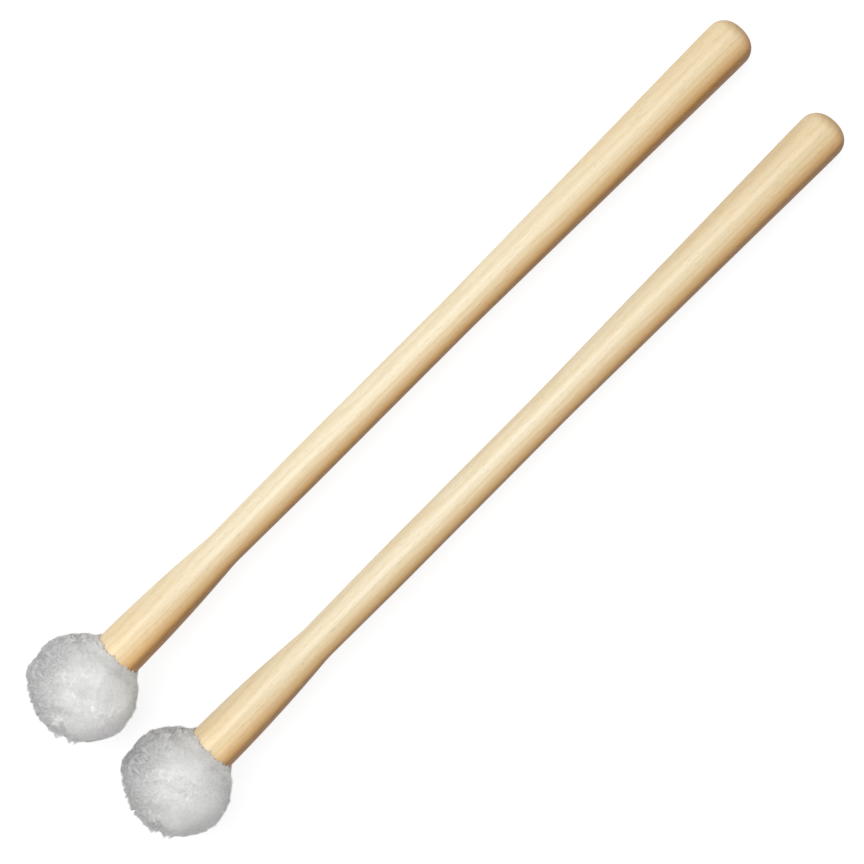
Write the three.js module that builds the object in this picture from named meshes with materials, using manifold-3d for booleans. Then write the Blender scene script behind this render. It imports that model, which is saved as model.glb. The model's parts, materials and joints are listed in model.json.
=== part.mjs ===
// A matched pair of marching bass drum mallets, lying side by side on a flat surface.
// Each is a turned hickory handle whose flared end carries a hard felt core. A soft felt underlay and a
// fleece cover go over the core, and a draw cord under the cover's edge ties it into a groove in the neck.
// Millimetres, +Z up. The surface is z = 0, +X runs from the heads to the butts, and the origin is the
// middle of the pair's footprint.

import * as THREE from "three";
import { mergeVertices } from "three/addons/utils/BufferGeometryUtils.js";
import Module from "manifold-3d";

const wasm = await Module();
wasm.setup();

// Sizes of the whole mallet
const OVERALL_LENGTH = 359; // from the nose of the head to the butt
const MALLET_SPACING = 48.3; // between the two centrelines
const FIT_GAP = 0.3; // between two pieces that touch
const CUT_OVERRUN = 5; // how far a cutting block runs past what it cuts

// Sizes of the soft head. Places along a mallet are counted from the middle of its ball, towards the butt.
const HEAD_DIAMETER = 41.4;
const HEAD_LENGTH = 38.4; // the ball's length along the handle, were it whole
const COVER_RIM = 1.03; // thickness left at the cover's edge on the handle
const COVER_LIP = 1; // length of the edge that closes the cord's tunnel
const COVER_THICKNESS = 5; // knitted backing and pile together
const UNDERLAY_THICKNESS = 2;
const UNDERLAY_RIM = 1.3; // thickness left at the underlay's edge
const TUFT_DEPTH = 1; // how deep the hollows between the pile's tufts are
const PRESSED_DEPTH = 0.6; // how far the mallet's weight flattens the pile on the surface

// Sizes of the draw cord
const CORD_DIAMETER = 0.75;
const CORD_PITCH = 1.2;
const KNOT_DIAMETER = 1.4;
const KNOT_LENGTH = 2.4;
const GROOVE_DEPTH = 0.9; // of the turned groove in the handle's neck

// Sizes of the handle, from the head's end to the butt
const SPIGOT_DIAMETER = 9.5;
const SPIGOT_LENGTH = 13;
const SPIGOT_CHAMFER = 0.8;
const SHOULDER_CHAMFER = 0.4;
const FLARE_DIAMETER = 18.5;
const CREST_PAST_COVER = 4.2; // from the cover's edge to the crest, where the flare starts to narrow
const FLARE_BEND_LENGTH = 23.8; // from the crest to the bend, where its gentle and steep tapers would meet
const FLARE_BEND_DIAMETER = 17.9;
const FLARE_LENGTH = 49; // from the crest to the waist
const WAIST_DIAMETER = 13.6;
const WAIST_EASE = 3; // the length on each side of the waist over which its corner is eased
const NECK_TAPER_LENGTH = 37; // from the waist to the grip's full diameter
const GRIP_DIAMETER = 14.4;
const GRIP_LENGTH = 87; // the straight stretch
const BUTT_DIAMETER = 18.7;
const BUTT_LAND = 5; // straight stretch before the rounded end
const BUTT_ROUND = 6.3; // radius of the rounded end

// Counts, angles and shares
const CORE_FACE_SHARE = 0.62; // share of the core's reach at which it is cut flat for the handle's shoulder
const CORD_STEPS_PER_TURN = 24;
const CORD_SIDES = 6;
const TUFTS = 130; // over a whole ball
const TUFT_ANGLE = 0.3; // radians from a tuft's top to the hollow round it
const PRESSED_ANGLE = 0.5; // radians from straight down within which the pile is pressed smooth
const PRESSED_BLEND_SHARE = 0.5; // share of that angle at which the tufts begin again
const HANDLE_SIDES = 32;
const COVER_SIDES = 40;
const INNER_SIDES = 24;
const COVER_ARC_STEPS = 20;
const INNER_ARC_STEPS = 8;
const FLARE_STEPS = 8;
const EASE_STEPS = 3;
const BUTT_STEPS = 6;
const EDGE_FADE_POWER = 4; // how late the tufts die out towards the cover's edge

// Colours and surfaces
const hickory = new THREE.MeshStandardMaterial({ color: 0xe6cc98, roughness: 0.38, metalness: 0 });
const hardFelt = new THREE.MeshStandardMaterial({ color: 0xd8d2c4, roughness: 0.95, metalness: 0 });
const softFelt = new THREE.MeshStandardMaterial({ color: 0xe9e6de, roughness: 0.97, metalness: 0 });
const fleece = new THREE.MeshStandardMaterial({ color: 0xeceded, roughness: 1, metalness: 0 });
const waxedCord = new THREE.MeshStandardMaterial({ color: 0xcfc6b0, roughness: 0.7, metalness: 0 });

// Sizes that follow from the ones above
const headRadius = HEAD_DIAMETER / 2;
const noseReach = HEAD_LENGTH / 2;
const flareRadius = FLARE_DIAMETER / 2;
const neckBoreRadius = flareRadius + FIT_GAP; // of the underlay and the cover, round the neck
const spigotRadius = SPIGOT_DIAMETER / 2;

// The head's layers are balls that are a little shorter than wide: each has a radius across the handle
// and a reach along it.
const coverOuter = { radius: headRadius, reach: noseReach };
const coverInner = shrunk(coverOuter, COVER_THICKNESS);
const underlayOuter = shrunk(coverInner, FIT_GAP);
const underlayInner = shrunk(underlayOuter, UNDERLAY_THICKNESS);
const coreOuter = shrunk(underlayInner, FIT_GAP);

const coreFace = CORE_FACE_SHARE * coreOuter.reach;
const underlayEnd = placeOnBall(underlayOuter, neckBoreRadius + UNDERLAY_RIM);
const coverMouth = placeOnBall(coverOuter, neckBoreRadius + COVER_RIM);

// Places along the handle
const shoulder = coreFace + FIT_GAP;
const spigotEnd = shoulder - SPIGOT_LENGTH;
const flareCrest = coverMouth + CREST_PAST_COVER;
const waistPlace = flareCrest + FLARE_LENGTH;
const gripStart = waistPlace + NECK_TAPER_LENGTH;
const gripEnd = gripStart + GRIP_LENGTH;
const buttEnd = OVERALL_LENGTH - noseReach;
const buttRadius = BUTT_DIAMETER / 2;
const buttLandStart = buttEnd - BUTT_ROUND - BUTT_LAND;

// The cord's tunnel: its floor is the groove in the handle, and its roof is in the cover. The cord has as
// many turns as fit in it.
const tunnelStart = underlayEnd;
const tunnelEnd = coverMouth - COVER_LIP;
const grooveRadius = flareRadius - GROOVE_DEPTH;
const cordRadius = CORD_DIAMETER / 2;
const cordWindRadius = grooveRadius + FIT_GAP + cordRadius;
const knotWindRadius = grooveRadius + FIT_GAP + KNOT_DIAMETER / 2;
const tunnelRoofRadius = knotWindRadius + KNOT_DIAMETER / 2 + FIT_GAP;
const cordTurns = Math.floor((tunnelEnd - tunnelStart - KNOT_DIAMETER - 2 * FIT_GAP) / CORD_PITCH);
const windLength = cordTurns * CORD_PITCH;
const windStart = (tunnelStart + tunnelEnd - windLength - KNOT_DIAMETER + CORD_DIAMETER) / 2;

// How a mallet lies: its ball is pressed a little flat, and its butt touches the surface too
const headHeight = headRadius - PRESSED_DEPTH;
const buttTouchPlace = buttEnd - BUTT_ROUND;
const layAngle =
  Math.asin(headHeight / Math.hypot(buttTouchPlace, buttRadius)) - Math.atan2(buttRadius, buttTouchPlace);

// A ball whose surface lies a thickness inside another's
function shrunk(ball, thickness) {
  return { radius: ball.radius - thickness, reach: ball.reach - thickness };
}

// The place, past a ball's middle, where it is that wide
function placeOnBall(ball, radius) {
  return ball.reach * Math.sqrt(1 - (radius / ball.radius) ** 2);
}

// Outline points of a ball from its nose, on the axis, to a place past its middle
function ballArc(ball, endPlace, steps) {
  const endAngle = Math.acos(endPlace / ball.reach);
  const points = [];
  for (let i = 0; i <= steps; i++) {
    const angle = THREE.MathUtils.lerp(Math.PI, endAngle, i / steps);
    const across = i === 0 ? 0 : ball.radius * Math.sin(angle);
    points.push(new THREE.Vector2(across, ball.reach * Math.cos(angle)));
  }
  return points;
}

// A point of an outline: its place along the mallet, and its distance from the centreline
function at(place, radius) {
  return new THREE.Vector2(radius, place);
}

// An outline turned round the mallet's centreline, which is the X axis
function turned(outline, sides) {
  return new THREE.LatheGeometry(outline, sides).rotateZ(-Math.PI / 2);
}

// A closed geometry as a solid that can be cut and joined
function solidOf(geometry) {
  const plain = geometry.index ? geometry.toNonIndexed() : geometry.clone();
  plain.deleteAttribute("normal");
  plain.deleteAttribute("uv");
  const merged = mergeVertices(plain);
  return new wasm.Manifold(
    new wasm.Mesh({
      numProp: 3,
      vertProperties: new Float32Array(merged.attributes.position.array),
      triVerts: new Uint32Array(merged.index.array),
    }),
  );
}

// A solid as a geometry
function geometryOf(solid) {
  const mesh = solid.getMesh();
  const geometry = new THREE.BufferGeometry();
  geometry.setAttribute("position", new THREE.BufferAttribute(mesh.vertProperties, 3));
  geometry.setIndex(new THREE.BufferAttribute(mesh.triVerts, 1));
  geometry.computeVertexNormals();
  return geometry;
}

// The flare's curve, which leaves the crest gently and reaches the waist steeply, and the waist's eased
// corner between it and the neck's taper
function flareOutline() {
  const crest = at(flareCrest, flareRadius);
  const bend = at(flareCrest + FLARE_BEND_LENGTH, FLARE_BEND_DIAMETER / 2);
  const waist = at(waistPlace, WAIST_DIAMETER / 2);
  const neckEnd = at(gripStart, GRIP_DIAMETER / 2);
  const easeStart = waist.clone().lerp(bend, WAIST_EASE / waist.distanceTo(bend));
  const easeEnd = waist.clone().lerp(neckEnd, WAIST_EASE / waist.distanceTo(neckEnd));
  const flare = new THREE.QuadraticBezierCurve(crest, bend, easeStart);
  const corner = new THREE.QuadraticBezierCurve(easeStart, waist, easeEnd);
  return [...flare.getPoints(FLARE_STEPS), ...corner.getPoints(EASE_STEPS).slice(1)];
}

// The butt's rounded end, from its land to the small flat left on the axis
function buttOutline() {
  const points = [];
  for (let i = 0; i <= BUTT_STEPS; i++) {
    const angle = ((Math.PI / 2) * i) / BUTT_STEPS;
    points.push(
      at(
        buttEnd - BUTT_ROUND + BUTT_ROUND * Math.sin(angle),
        buttRadius - BUTT_ROUND + BUTT_ROUND * Math.cos(angle),
      ),
    );
  }
  points.push(at(buttEnd, 0));
  return points;
}

function handleGeometry() {
  const outline = [
    at(spigotEnd, 0),
    at(spigotEnd, spigotRadius - SPIGOT_CHAMFER),
    at(spigotEnd + SPIGOT_CHAMFER, spigotRadius),
    at(shoulder, spigotRadius),
    at(shoulder, flareRadius - SHOULDER_CHAMFER),
    at(shoulder + SHOULDER_CHAMFER, flareRadius),
    at(tunnelStart, flareRadius),
    at(tunnelStart, grooveRadius),
    at(tunnelEnd, grooveRadius),
    at(tunnelEnd, flareRadius),
    ...flareOutline(),
    at(gripStart, GRIP_DIAMETER / 2),
    at(gripEnd, GRIP_DIAMETER / 2),
    at(buttLandStart, buttRadius),
    ...buttOutline(),
  ];
  return turned(outline, HANDLE_SIDES);
}

function coreGeometry() {
  const boreRadius = spigotRadius + FIT_GAP;
  const boreEnd = spigotEnd - FIT_GAP;
  const outline = [
    ...ballArc(coreOuter, coreFace, INNER_ARC_STEPS),
    at(coreFace, boreRadius),
    at(boreEnd, boreRadius),
    at(boreEnd, 0),
  ];
  return turned(outline, INNER_SIDES);
}

function underlayGeometry() {
  const boreStart = placeOnBall(underlayInner, neckBoreRadius);
  const outline = [
    ...ballArc(underlayOuter, underlayEnd, INNER_ARC_STEPS),
    at(underlayEnd, neckBoreRadius),
    ...ballArc(underlayInner, boreStart, INNER_ARC_STEPS).reverse(),
  ];
  return turned(outline, INNER_SIDES);
}

// Directions spread evenly over a ball, one for each tuft
function tuftDirections() {
  const goldenAngle = Math.PI * (3 - Math.sqrt(5));
  const directions = [];
  for (let i = 0; i < TUFTS; i++) {
    const along = 1 - (2 * i + 1) / TUFTS;
    const across = Math.sqrt(1 - along ** 2);
    directions.push(
      new THREE.Vector3(along, across * Math.cos(goldenAngle * i), across * Math.sin(goldenAngle * i)),
    );
  }
  return directions;
}

// Sinks the pile's surface between its tufts. The hollows fade out at the cover's edge and where the
// pile is pressed on the surface below. The pile is the first stretch of the cover's outline.
function tuftPile(geometry, outlineLength) {
  const directions = tuftDirections();
  const position = geometry.attributes.position;
  const point = new THREE.Vector3();
  const down = new THREE.Vector3(0, 0, -1).applyAxisAngle(new THREE.Vector3(0, 1, 0), -layAngle);
  for (let i = 0; i < position.count; i++) {
    if (i % outlineLength > COVER_ARC_STEPS) continue;
    point.fromBufferAttribute(position, i);
    const direction = point.clone().normalize();
    const nearest = Math.min(...directions.map((tuft) => tuft.angleTo(direction)));
    const hollow = Math.min(1, nearest / TUFT_ANGLE) ** 2;
    const edgeFade = 1 - Math.max(0, point.x / coverMouth) ** EDGE_FADE_POWER;
    const pressFade = THREE.MathUtils.smoothstep(
      direction.angleTo(down) / PRESSED_ANGLE,
      PRESSED_BLEND_SHARE,
      1,
    );
    point.addScaledVector(direction, -TUFT_DEPTH * hollow * Math.max(0, edgeFade) * pressFade);
    position.setXYZ(i, point.x, point.y, point.z);
  }
  return geometry;
}

function coverGeometry(lay) {
  const roofStart = placeOnBall(coverInner, tunnelRoofRadius);
  const outline = [
    ...ballArc(coverOuter, coverMouth, COVER_ARC_STEPS),
    at(coverMouth, neckBoreRadius),
    at(tunnelEnd, neckBoreRadius),
    at(tunnelEnd, tunnelRoofRadius),
    ...ballArc(coverInner, roofStart, INNER_ARC_STEPS).reverse(),
  ];
  const whole = tuftPile(turned(outline, COVER_SIDES), outline.length).applyMatrix4(lay);
  const span = HEAD_DIAMETER + CUT_OVERRUN;
  const below = new THREE.BoxGeometry(span, span, CUT_OVERRUN).translate(0, 0, -CUT_OVERRUN / 2);
  const pressed = geometryOf(solidOf(whole).subtract(solidOf(below)));
  return pressed.applyMatrix4(lay.clone().invert());
}

// The centreline of the cord's turns round the neck
class WindingCurve extends THREE.Curve {
  getPoint(share, target = new THREE.Vector3()) {
    const angle = share * cordTurns * 2 * Math.PI;
    return target.set(
      windStart + share * windLength,
      cordWindRadius * Math.cos(angle),
      cordWindRadius * Math.sin(angle),
    );
  }
}

function cordGeometry() {
  const section = new THREE.Shape(
    new THREE.EllipseCurve(0, 0, cordRadius, cordRadius).getPoints(CORD_SIDES).slice(0, CORD_SIDES),
  );
  const winding = new THREE.ExtrudeGeometry(section, {
    steps: cordTurns * CORD_STEPS_PER_TURN,
    extrudePath: new WindingCurve(),
    bevelEnabled: false,
  });
  const knotPlace = windStart + windLength + (KNOT_DIAMETER - CORD_DIAMETER) / 2;
  const knot = new THREE.SphereGeometry(KNOT_DIAMETER / 2, 2 * CORD_SIDES, CORD_SIDES)
    .scale(1, 1, KNOT_LENGTH / KNOT_DIAMETER)
    .translate(knotPlace, knotWindRadius, 0);
  return geometryOf(solidOf(winding).add(solidOf(knot)));
}

// The least gap between the cord's turns, measured on points of its centreline
function leastTurnGap() {
  const count = cordTurns * CORD_STEPS_PER_TURN;
  const points = new WindingCurve().getPoints(count);
  let least = Infinity;
  points.forEach((a, i) => {
    points.slice(i + CORD_STEPS_PER_TURN / 2).forEach((b) => {
      least = Math.min(least, a.distanceTo(b) - CORD_DIAMETER);
    });
  });
  return least;
}

// One mallet, with its pieces named for the hand that holds it
function makeMallet(hand, sideways) {
  const mallet = new THREE.Group();
  mallet.position.set(0, sideways, headHeight);
  mallet.rotation.y = layAngle;
  const lay = new THREE.Matrix4().makeRotationY(layAngle).setPosition(0, 0, headHeight);
  const pieces = [
    ["handle", handleGeometry(), hickory],
    ["felt_core", coreGeometry(), hardFelt],
    ["felt_underlay", underlayGeometry(), softFelt],
    ["fleece_cover", coverGeometry(lay), fleece],
    ["draw_cord", cordGeometry(), waxedCord],
  ];
  for (const [name, geometry, material] of pieces) {
    const mesh = new THREE.Mesh(geometry, material);
    mesh.name = `${hand}_${name}`;
    mallet.add(mesh);
  }
  return mallet;
}

const pair = new THREE.Group();
pair.add(makeMallet("right", MALLET_SPACING / 2));
pair.add(makeMallet("left", -MALLET_SPACING / 2));

// The origin goes to the middle of the pair's footprint
pair.updateMatrixWorld(true);
const footprint = new THREE.Box3().setFromObject(pair, true).getCenter(new THREE.Vector3());
pair.position.set(-footprint.x, -footprint.y, 0);

console.log(`least gap between the draw cord's turns: ${leastTurnGap().toFixed(2)} mm`);

export default pair;
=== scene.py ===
# %% [markdown]
# # A pair of bass drum mallets
# Two turned hickory handles with soft, fleece-covered heads lie side by side, seen from straight above.
# The construction comes in as a fixed frame, in metres. This script adds the looks: smooth turned wood with
# its grain and lacquer, and a white fleece with a short, tufted pile.

# %% Load the frame
import json
import math
import random

import bpy
import numpy as np
from mathutils import Matrix, Vector, noise


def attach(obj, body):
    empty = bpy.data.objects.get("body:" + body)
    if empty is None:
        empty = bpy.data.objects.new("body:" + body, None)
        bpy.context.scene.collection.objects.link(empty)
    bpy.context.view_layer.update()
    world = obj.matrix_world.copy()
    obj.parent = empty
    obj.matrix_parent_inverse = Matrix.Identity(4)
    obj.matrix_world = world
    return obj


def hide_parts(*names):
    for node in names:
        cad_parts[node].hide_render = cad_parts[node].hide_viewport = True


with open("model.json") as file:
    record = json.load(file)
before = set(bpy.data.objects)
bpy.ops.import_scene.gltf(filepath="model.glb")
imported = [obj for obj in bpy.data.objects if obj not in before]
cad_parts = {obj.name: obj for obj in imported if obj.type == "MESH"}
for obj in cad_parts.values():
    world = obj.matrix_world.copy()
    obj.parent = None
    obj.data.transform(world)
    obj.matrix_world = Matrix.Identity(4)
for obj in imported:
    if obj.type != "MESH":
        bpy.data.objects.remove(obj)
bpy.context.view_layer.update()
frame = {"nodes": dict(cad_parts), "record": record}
print("pieces in the frame:", sorted(frame["nodes"]))

# %% [markdown]
# ## Where each mallet lies
# Both mallets are the same turned form, so each piece is modelled once, in millimetres, along a mallet's
# own X axis with the middle of its head as the origin. A matrix then lays it in the scene. The frame gives
# the middle and the direction of each butt's flat end, and those two say where the whole mallet lies.

# %% The mallets' own axes
MM = 0.001
OVERALL_LENGTH = 359.0
HEAD_RADIUS = 20.7
NOSE_REACH = 19.2
BUTT_END = OVERALL_LENGTH - NOSE_REACH
HANDS = ("right", "left")
mounts = {mount["name"]: mount for mount in frame["record"]["mounts"]}


def mallet_matrix(hand):
    """Takes millimetres along a mallet to metres in the scene."""
    butt = mounts[f"{hand}_butt_end"]
    along = Vector(butt["axis"]).normalized()
    sideways = Vector((0, 1, 0))
    upwards = along.cross(sideways).normalized()
    head = Vector(butt["pos_m"]) - along * BUTT_END * MM
    turn = Matrix((along, sideways, upwards)).transposed().to_4x4()
    return Matrix.Translation(head) @ turn @ Matrix.Scale(MM, 4)


lay = {hand: mallet_matrix(hand) for hand in HANDS}
for hand in HANDS:
    print(hand, "head's middle, in mm:", [round(c / MM, 2) for c in lay[hand].translation])

# %% [markdown]
# ## The camera
# The photographer stood right over the mallets, about 0.6 m above the table. A mallet's head is nearer to
# the lens than its butt, which is why it looks a little larger and why the fleece's edge curves round the
# wood. The camera is turned about its own line of sight, so that the mallets run up to the right.

# %% Camera
CAMERA_HEIGHT = 0.6
CAMERA_PLACE = (-0.0059, 0.0004)
CAMERA_TURN = math.radians(-45.1)
LENS = 66.55

camera_data = bpy.data.cameras.new("camera")
camera_data.lens = LENS
camera = bpy.data.objects.new("camera", camera_data)
camera.location = (*CAMERA_PLACE, CAMERA_HEIGHT)
camera.rotation_euler = (0, 0, CAMERA_TURN)
bpy.context.scene.collection.objects.link(camera)
bpy.context.scene.camera = camera
print("camera at", [round(c, 3) for c in camera.location], "m, with a lens of", LENS, "mm")

# %% [markdown]
# ## Light
# The wood is brightest a little to the upper left of its middle and falls to brown along its lower right
# edge. So one large soft lamp hangs over the mallets, a little to the upper left, and a low one lights
# their upper left flanks. A weak wide one opposite them and a dim world fill the rest. The heads are lit
# more evenly than the wood, so a small lamp with a narrow beam points at them alone.

# %% Lamps
LAMP_DISTANCE = 1.1
HEADS = Vector((-0.203, 0.045, 0.02))


def lamp(name, towards, length, width, power, target=(0, 0, 0), distance=LAMP_DISTANCE, spread=180):
    """A soft lamp that faces its target from a direction, its length along the mallets. A small spread, in
    degrees, keeps its light together."""
    data = bpy.data.lights.new(name, "AREA")
    data.shape = "RECTANGLE"
    data.size, data.size_y = length, width
    data.energy = power
    data.spread = math.radians(spread)
    back = Vector(towards).normalized()
    along = (Vector((1, 0, 0)) - back * back.x).normalized()
    turn = Matrix((along, back.cross(along), back)).transposed().to_4x4()
    obj = bpy.data.objects.new(name, data)
    obj.matrix_world = Matrix.Translation(Vector(target) + back * distance) @ turn
    bpy.context.scene.collection.objects.link(obj)
    print(name, "lamp at", [round(c, 2) for c in obj.matrix_world.translation], "m")


lamp("key", towards=(0, 0.36, 0.93), length=1.2, width=0.75, power=11.0)
lamp("side", towards=(0, 0.94, 0.34), length=1.2, width=0.4, power=1.6)
lamp("fill", towards=(0, -0.73, 0.68), length=1.2, width=0.8, power=1.6)
lamp(
    "heads",
    towards=(0.35, -0.70, 0.60),
    length=0.06,
    width=0.06,
    power=0.015,
    target=HEADS,
    distance=0.7,
    spread=11,
)

# %% [markdown]
# ## A white background
# The white all around is not light: the world and the table are white only for the rays that show the
# background. A bright world would do the same with fewer nodes, but it would also wash out the shading.


# %% Rays that show the background
def sees_white(tree):
    """1 for the rays that show the background: from the camera, in a gloss or through something."""
    path = tree.nodes.new("ShaderNodeLightPath")
    total = path.outputs["Is Camera Ray"]
    for kind in ("Is Glossy Ray", "Is Transmission Ray"):
        add = tree.nodes.new("ShaderNodeMath")
        add.operation = "MAXIMUM"
        tree.links.new(total, add.inputs[0])
        tree.links.new(path.outputs[kind], add.inputs[1])
        total = add.outputs[0]
    return total


# %% World
WORLD_FILL = 0.28

world = bpy.data.worlds.new("studio")
bpy.context.scene.world = world
world.use_nodes = True
tree = world.node_tree
tree.nodes.clear()
fill = tree.nodes.new("ShaderNodeBackground")
fill.inputs["Strength"].default_value = WORLD_FILL
seen = tree.nodes.new("ShaderNodeBackground")
mix = tree.nodes.new("ShaderNodeMixShader")
out = tree.nodes.new("ShaderNodeOutputWorld")
for background in (fill, seen):
    background.inputs["Color"].default_value = (1, 1, 1, 1)
tree.links.new(sees_white(tree), mix.inputs[0])
tree.links.new(fill.outputs[0], mix.inputs[1])
tree.links.new(seen.outputs[0], mix.inputs[2])
tree.links.new(mix.outputs[0], out.inputs[0])
bpy.context.scene.view_settings.view_transform = "Standard"
print("world lights with a strength of", WORLD_FILL)

# %% [markdown]
# ## The table
# A plain table is one large square. Where it is seen, most of its brightness is its own glow, so the soft
# shadows under the mallets stay faint, and the glow rises to full white away from them. For the light that
# falls on the mallets it is a matt white board, which brightens the sides and undersides of the heads.

# %% Table
TABLE_SIZE = 6.0

half = TABLE_SIZE / 2
table_corners = [(-half, -half, 0), (half, -half, 0), (half, half, 0), (-half, half, 0)]
table_mesh = bpy.data.meshes.new("table")
table_mesh.from_pydata(table_corners, [], [(0, 1, 2, 3)])
table = bpy.data.objects.new("table", table_mesh)
bpy.context.scene.collection.objects.link(table)
print("table:", TABLE_SIZE, "m across")

# %% Table finish
TABLE_GREY = 0.2
TABLE_BOUNCE = 0.8
TABLE_GLOW = 0.87
SHADOW_REACH = (0.3, 0.7)

table_material = bpy.data.materials.new("table")
table_material.use_nodes = True
tree = table_material.node_tree
tree.nodes.clear()
grey = tree.nodes.new("ShaderNodeBsdfDiffuse")
bounce = tree.nodes.new("ShaderNodeBsdfDiffuse")
for diffuse, level in ((grey, TABLE_GREY), (bounce, TABLE_BOUNCE)):
    diffuse.inputs["Color"].default_value = (level, level, level, 1)
place = tree.nodes.new("ShaderNodeNewGeometry")
reach = tree.nodes.new("ShaderNodeVectorMath")
reach.operation = "LENGTH"
tree.links.new(place.outputs["Position"], reach.inputs[0])
whiter = tree.nodes.new("ShaderNodeMapRange")
glow_range = (*SHADOW_REACH, TABLE_GLOW, 1.0)
for socket, value in zip(("From Min", "From Max", "To Min", "To Max"), glow_range):
    whiter.inputs[socket].default_value = value
tree.links.new(reach.outputs["Value"], whiter.inputs["Value"])
glow = tree.nodes.new("ShaderNodeEmission")
tree.links.new(whiter.outputs[0], glow.inputs["Strength"])
both = tree.nodes.new("ShaderNodeAddShader")
mix = tree.nodes.new("ShaderNodeMixShader")
out = tree.nodes.new("ShaderNodeOutputMaterial")
tree.links.new(grey.outputs[0], both.inputs[0])
tree.links.new(glow.outputs[0], both.inputs[1])
tree.links.new(sees_white(tree), mix.inputs[0])
tree.links.new(bounce.outputs[0], mix.inputs[1])
tree.links.new(both.outputs[0], mix.inputs[2])
tree.links.new(mix.outputs[0], out.inputs[0])
table_mesh.materials.append(table_material)
print("table glows from", TABLE_GLOW, "to 1 between", SHADOW_REACH, "m from the middle")

# %% [markdown]
# ## Turned forms
# A lathe makes anything round by turning an outline. In Blender a Screw modifier can do it, but here the
# rings of points are written straight into a mesh: the same rings are later pushed in and out for the
# fleece, and a ring that sits on the axis is one point, so the ends close cleanly. Each point of an outline
# is a place along the mallet and a radius.


# %% Turning an outline
def turned_rings(outline, sides):
    """Points and faces of an outline turned round X. An end on the axis is one point, and an outline that
    stays off the axis closes on itself."""
    closed = outline[0][1] > 0
    angles = np.arange(sides) * 2 * math.pi / sides
    points, rings = [], []
    for place, radius in outline:
        rings.append(range(len(points), len(points) + (sides if radius > 0 else 1)))
        if radius > 0:
            points += [(place, radius * math.cos(a), radius * math.sin(a)) for a in angles]
        else:
            points.append((place, 0, 0))
    following = rings[1:] + ([rings[0]] if closed else [])
    faces = []
    for near, far in zip(rings, following):
        for i in range(sides):
            j = (i + 1) % sides
            if len(near) == 1:
                faces.append((near[0], far[j], far[i]))
            elif len(far) == 1:
                faces.append((near[i], near[j], far[0]))
            else:
                faces.append((near[i], near[j], far[j], far[i]))
    return np.array(points, float), faces


# %% Laying a piece in the scene
def piece(name, hand, points, faces, material, sharp_angle=None):
    """A mesh object laid where its mallet lies, that rides on the mallet's body."""
    mesh = bpy.data.meshes.new(f"{hand}_{name}")
    mesh.from_pydata([tuple(p) for p in points], [], faces)
    mesh.polygons.foreach_set("use_smooth", [True] * len(mesh.polygons))
    if sharp_angle:
        mesh.set_sharp_from_angle(angle=sharp_angle)
    mesh.materials.append(material)
    obj = bpy.data.objects.new(f"{hand}_{name}", mesh)
    obj.matrix_world = lay[hand]
    bpy.context.scene.collection.objects.link(obj)
    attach(obj, f"{hand}_mallet")
    print(obj.name, len(mesh.polygons), "faces")
    return obj


# %% [markdown]
# ## The handle's outline
# The handle is one piece of hickory. Its spigot and shoulder are hidden in the head. Past the head comes
# the flare, which narrows gently and then steeply to the waist, then a slight taper up to the grip, a
# straight stretch, a long taper to the butt and a rounded end. Curves join the stretches, because a turned
# and sanded stick has no hard corners except where the head hides them. All sizes are in millimetres.

# %% Handle sizes
FIT_GAP = 0.3
SPIGOT_RADIUS, SPIGOT_LENGTH, SPIGOT_CHAMFER = 4.75, 13.0, 0.8
FLARE_RADIUS, FLARE_BEND_LENGTH, FLARE_BEND_RADIUS, FLARE_LENGTH = 9.25, 23.8, 8.95, 49.0
WAIST_RADIUS, WAIST_EASE = 6.8, 3.0
NECK_TAPER_LENGTH, GRIP_RADIUS, GRIP_LENGTH = 37.0, 7.2, 87.0
BUTT_RADIUS, BUTT_LAND, BUTT_ROUND = 9.35, 5.0, 6.3
SHOULDER_CHAMFER, GROOVE_DEPTH = 0.4, 0.9
COVER_THICKNESS, COVER_RIM, COVER_LIP = 5.0, 1.03, 1.0
UNDERLAY_THICKNESS, UNDERLAY_RIM = 2.0, 1.3
CREST_PAST_COVER = 4.2
CORE_FACE_SHARE = 0.62

neck_bore = FLARE_RADIUS + FIT_GAP


# %% The layers of the head
def ball(inset):
    """The radius and the reach of a layer whose surface lies that far inside the fleece's."""
    return HEAD_RADIUS - inset, NOSE_REACH - inset


def place_on(layer, radius):
    """The place, past a layer's middle, where it is that wide."""
    return layer[1] * math.sqrt(1 - (radius / layer[0]) ** 2)


cover_outer = ball(0)
cover_inner = ball(COVER_THICKNESS)
underlay_outer = ball(COVER_THICKNESS + FIT_GAP)
underlay_inner = ball(COVER_THICKNESS + FIT_GAP + UNDERLAY_THICKNESS)
core_outer = ball(COVER_THICKNESS + 2 * FIT_GAP + UNDERLAY_THICKNESS)
cover_mouth = place_on(cover_outer, neck_bore + COVER_RIM)
tunnel_start = place_on(underlay_outer, neck_bore + UNDERLAY_RIM)
tunnel_end = cover_mouth - COVER_LIP
core_face = CORE_FACE_SHARE * core_outer[1]
shoulder = core_face + FIT_GAP
spigot_end = shoulder - SPIGOT_LENGTH
flare_crest = cover_mouth + CREST_PAST_COVER
waist = flare_crest + FLARE_LENGTH
grip_start = waist + NECK_TAPER_LENGTH
grip_end = grip_start + GRIP_LENGTH
land_start = BUTT_END - BUTT_ROUND - BUTT_LAND
print("from the head's middle, in mm: cover's mouth", round(cover_mouth, 1), "waist", round(waist, 1))
print("grip", round(grip_start, 1), "to", round(grip_end, 1), "butt's end", round(BUTT_END, 1))


# %% Curves for outlines
def bend(start, corner, end, steps):
    """Points of a curve that leaves start towards corner and arrives at end from it."""
    shares = np.linspace(0, 1, steps + 1)[:, None]
    start, corner, end = np.array(start), np.array(corner), np.array(end)
    points = (1 - shares) ** 2 * start + 2 * shares * (1 - shares) * corner + shares**2 * end
    return [tuple(p) for p in points]


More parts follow.
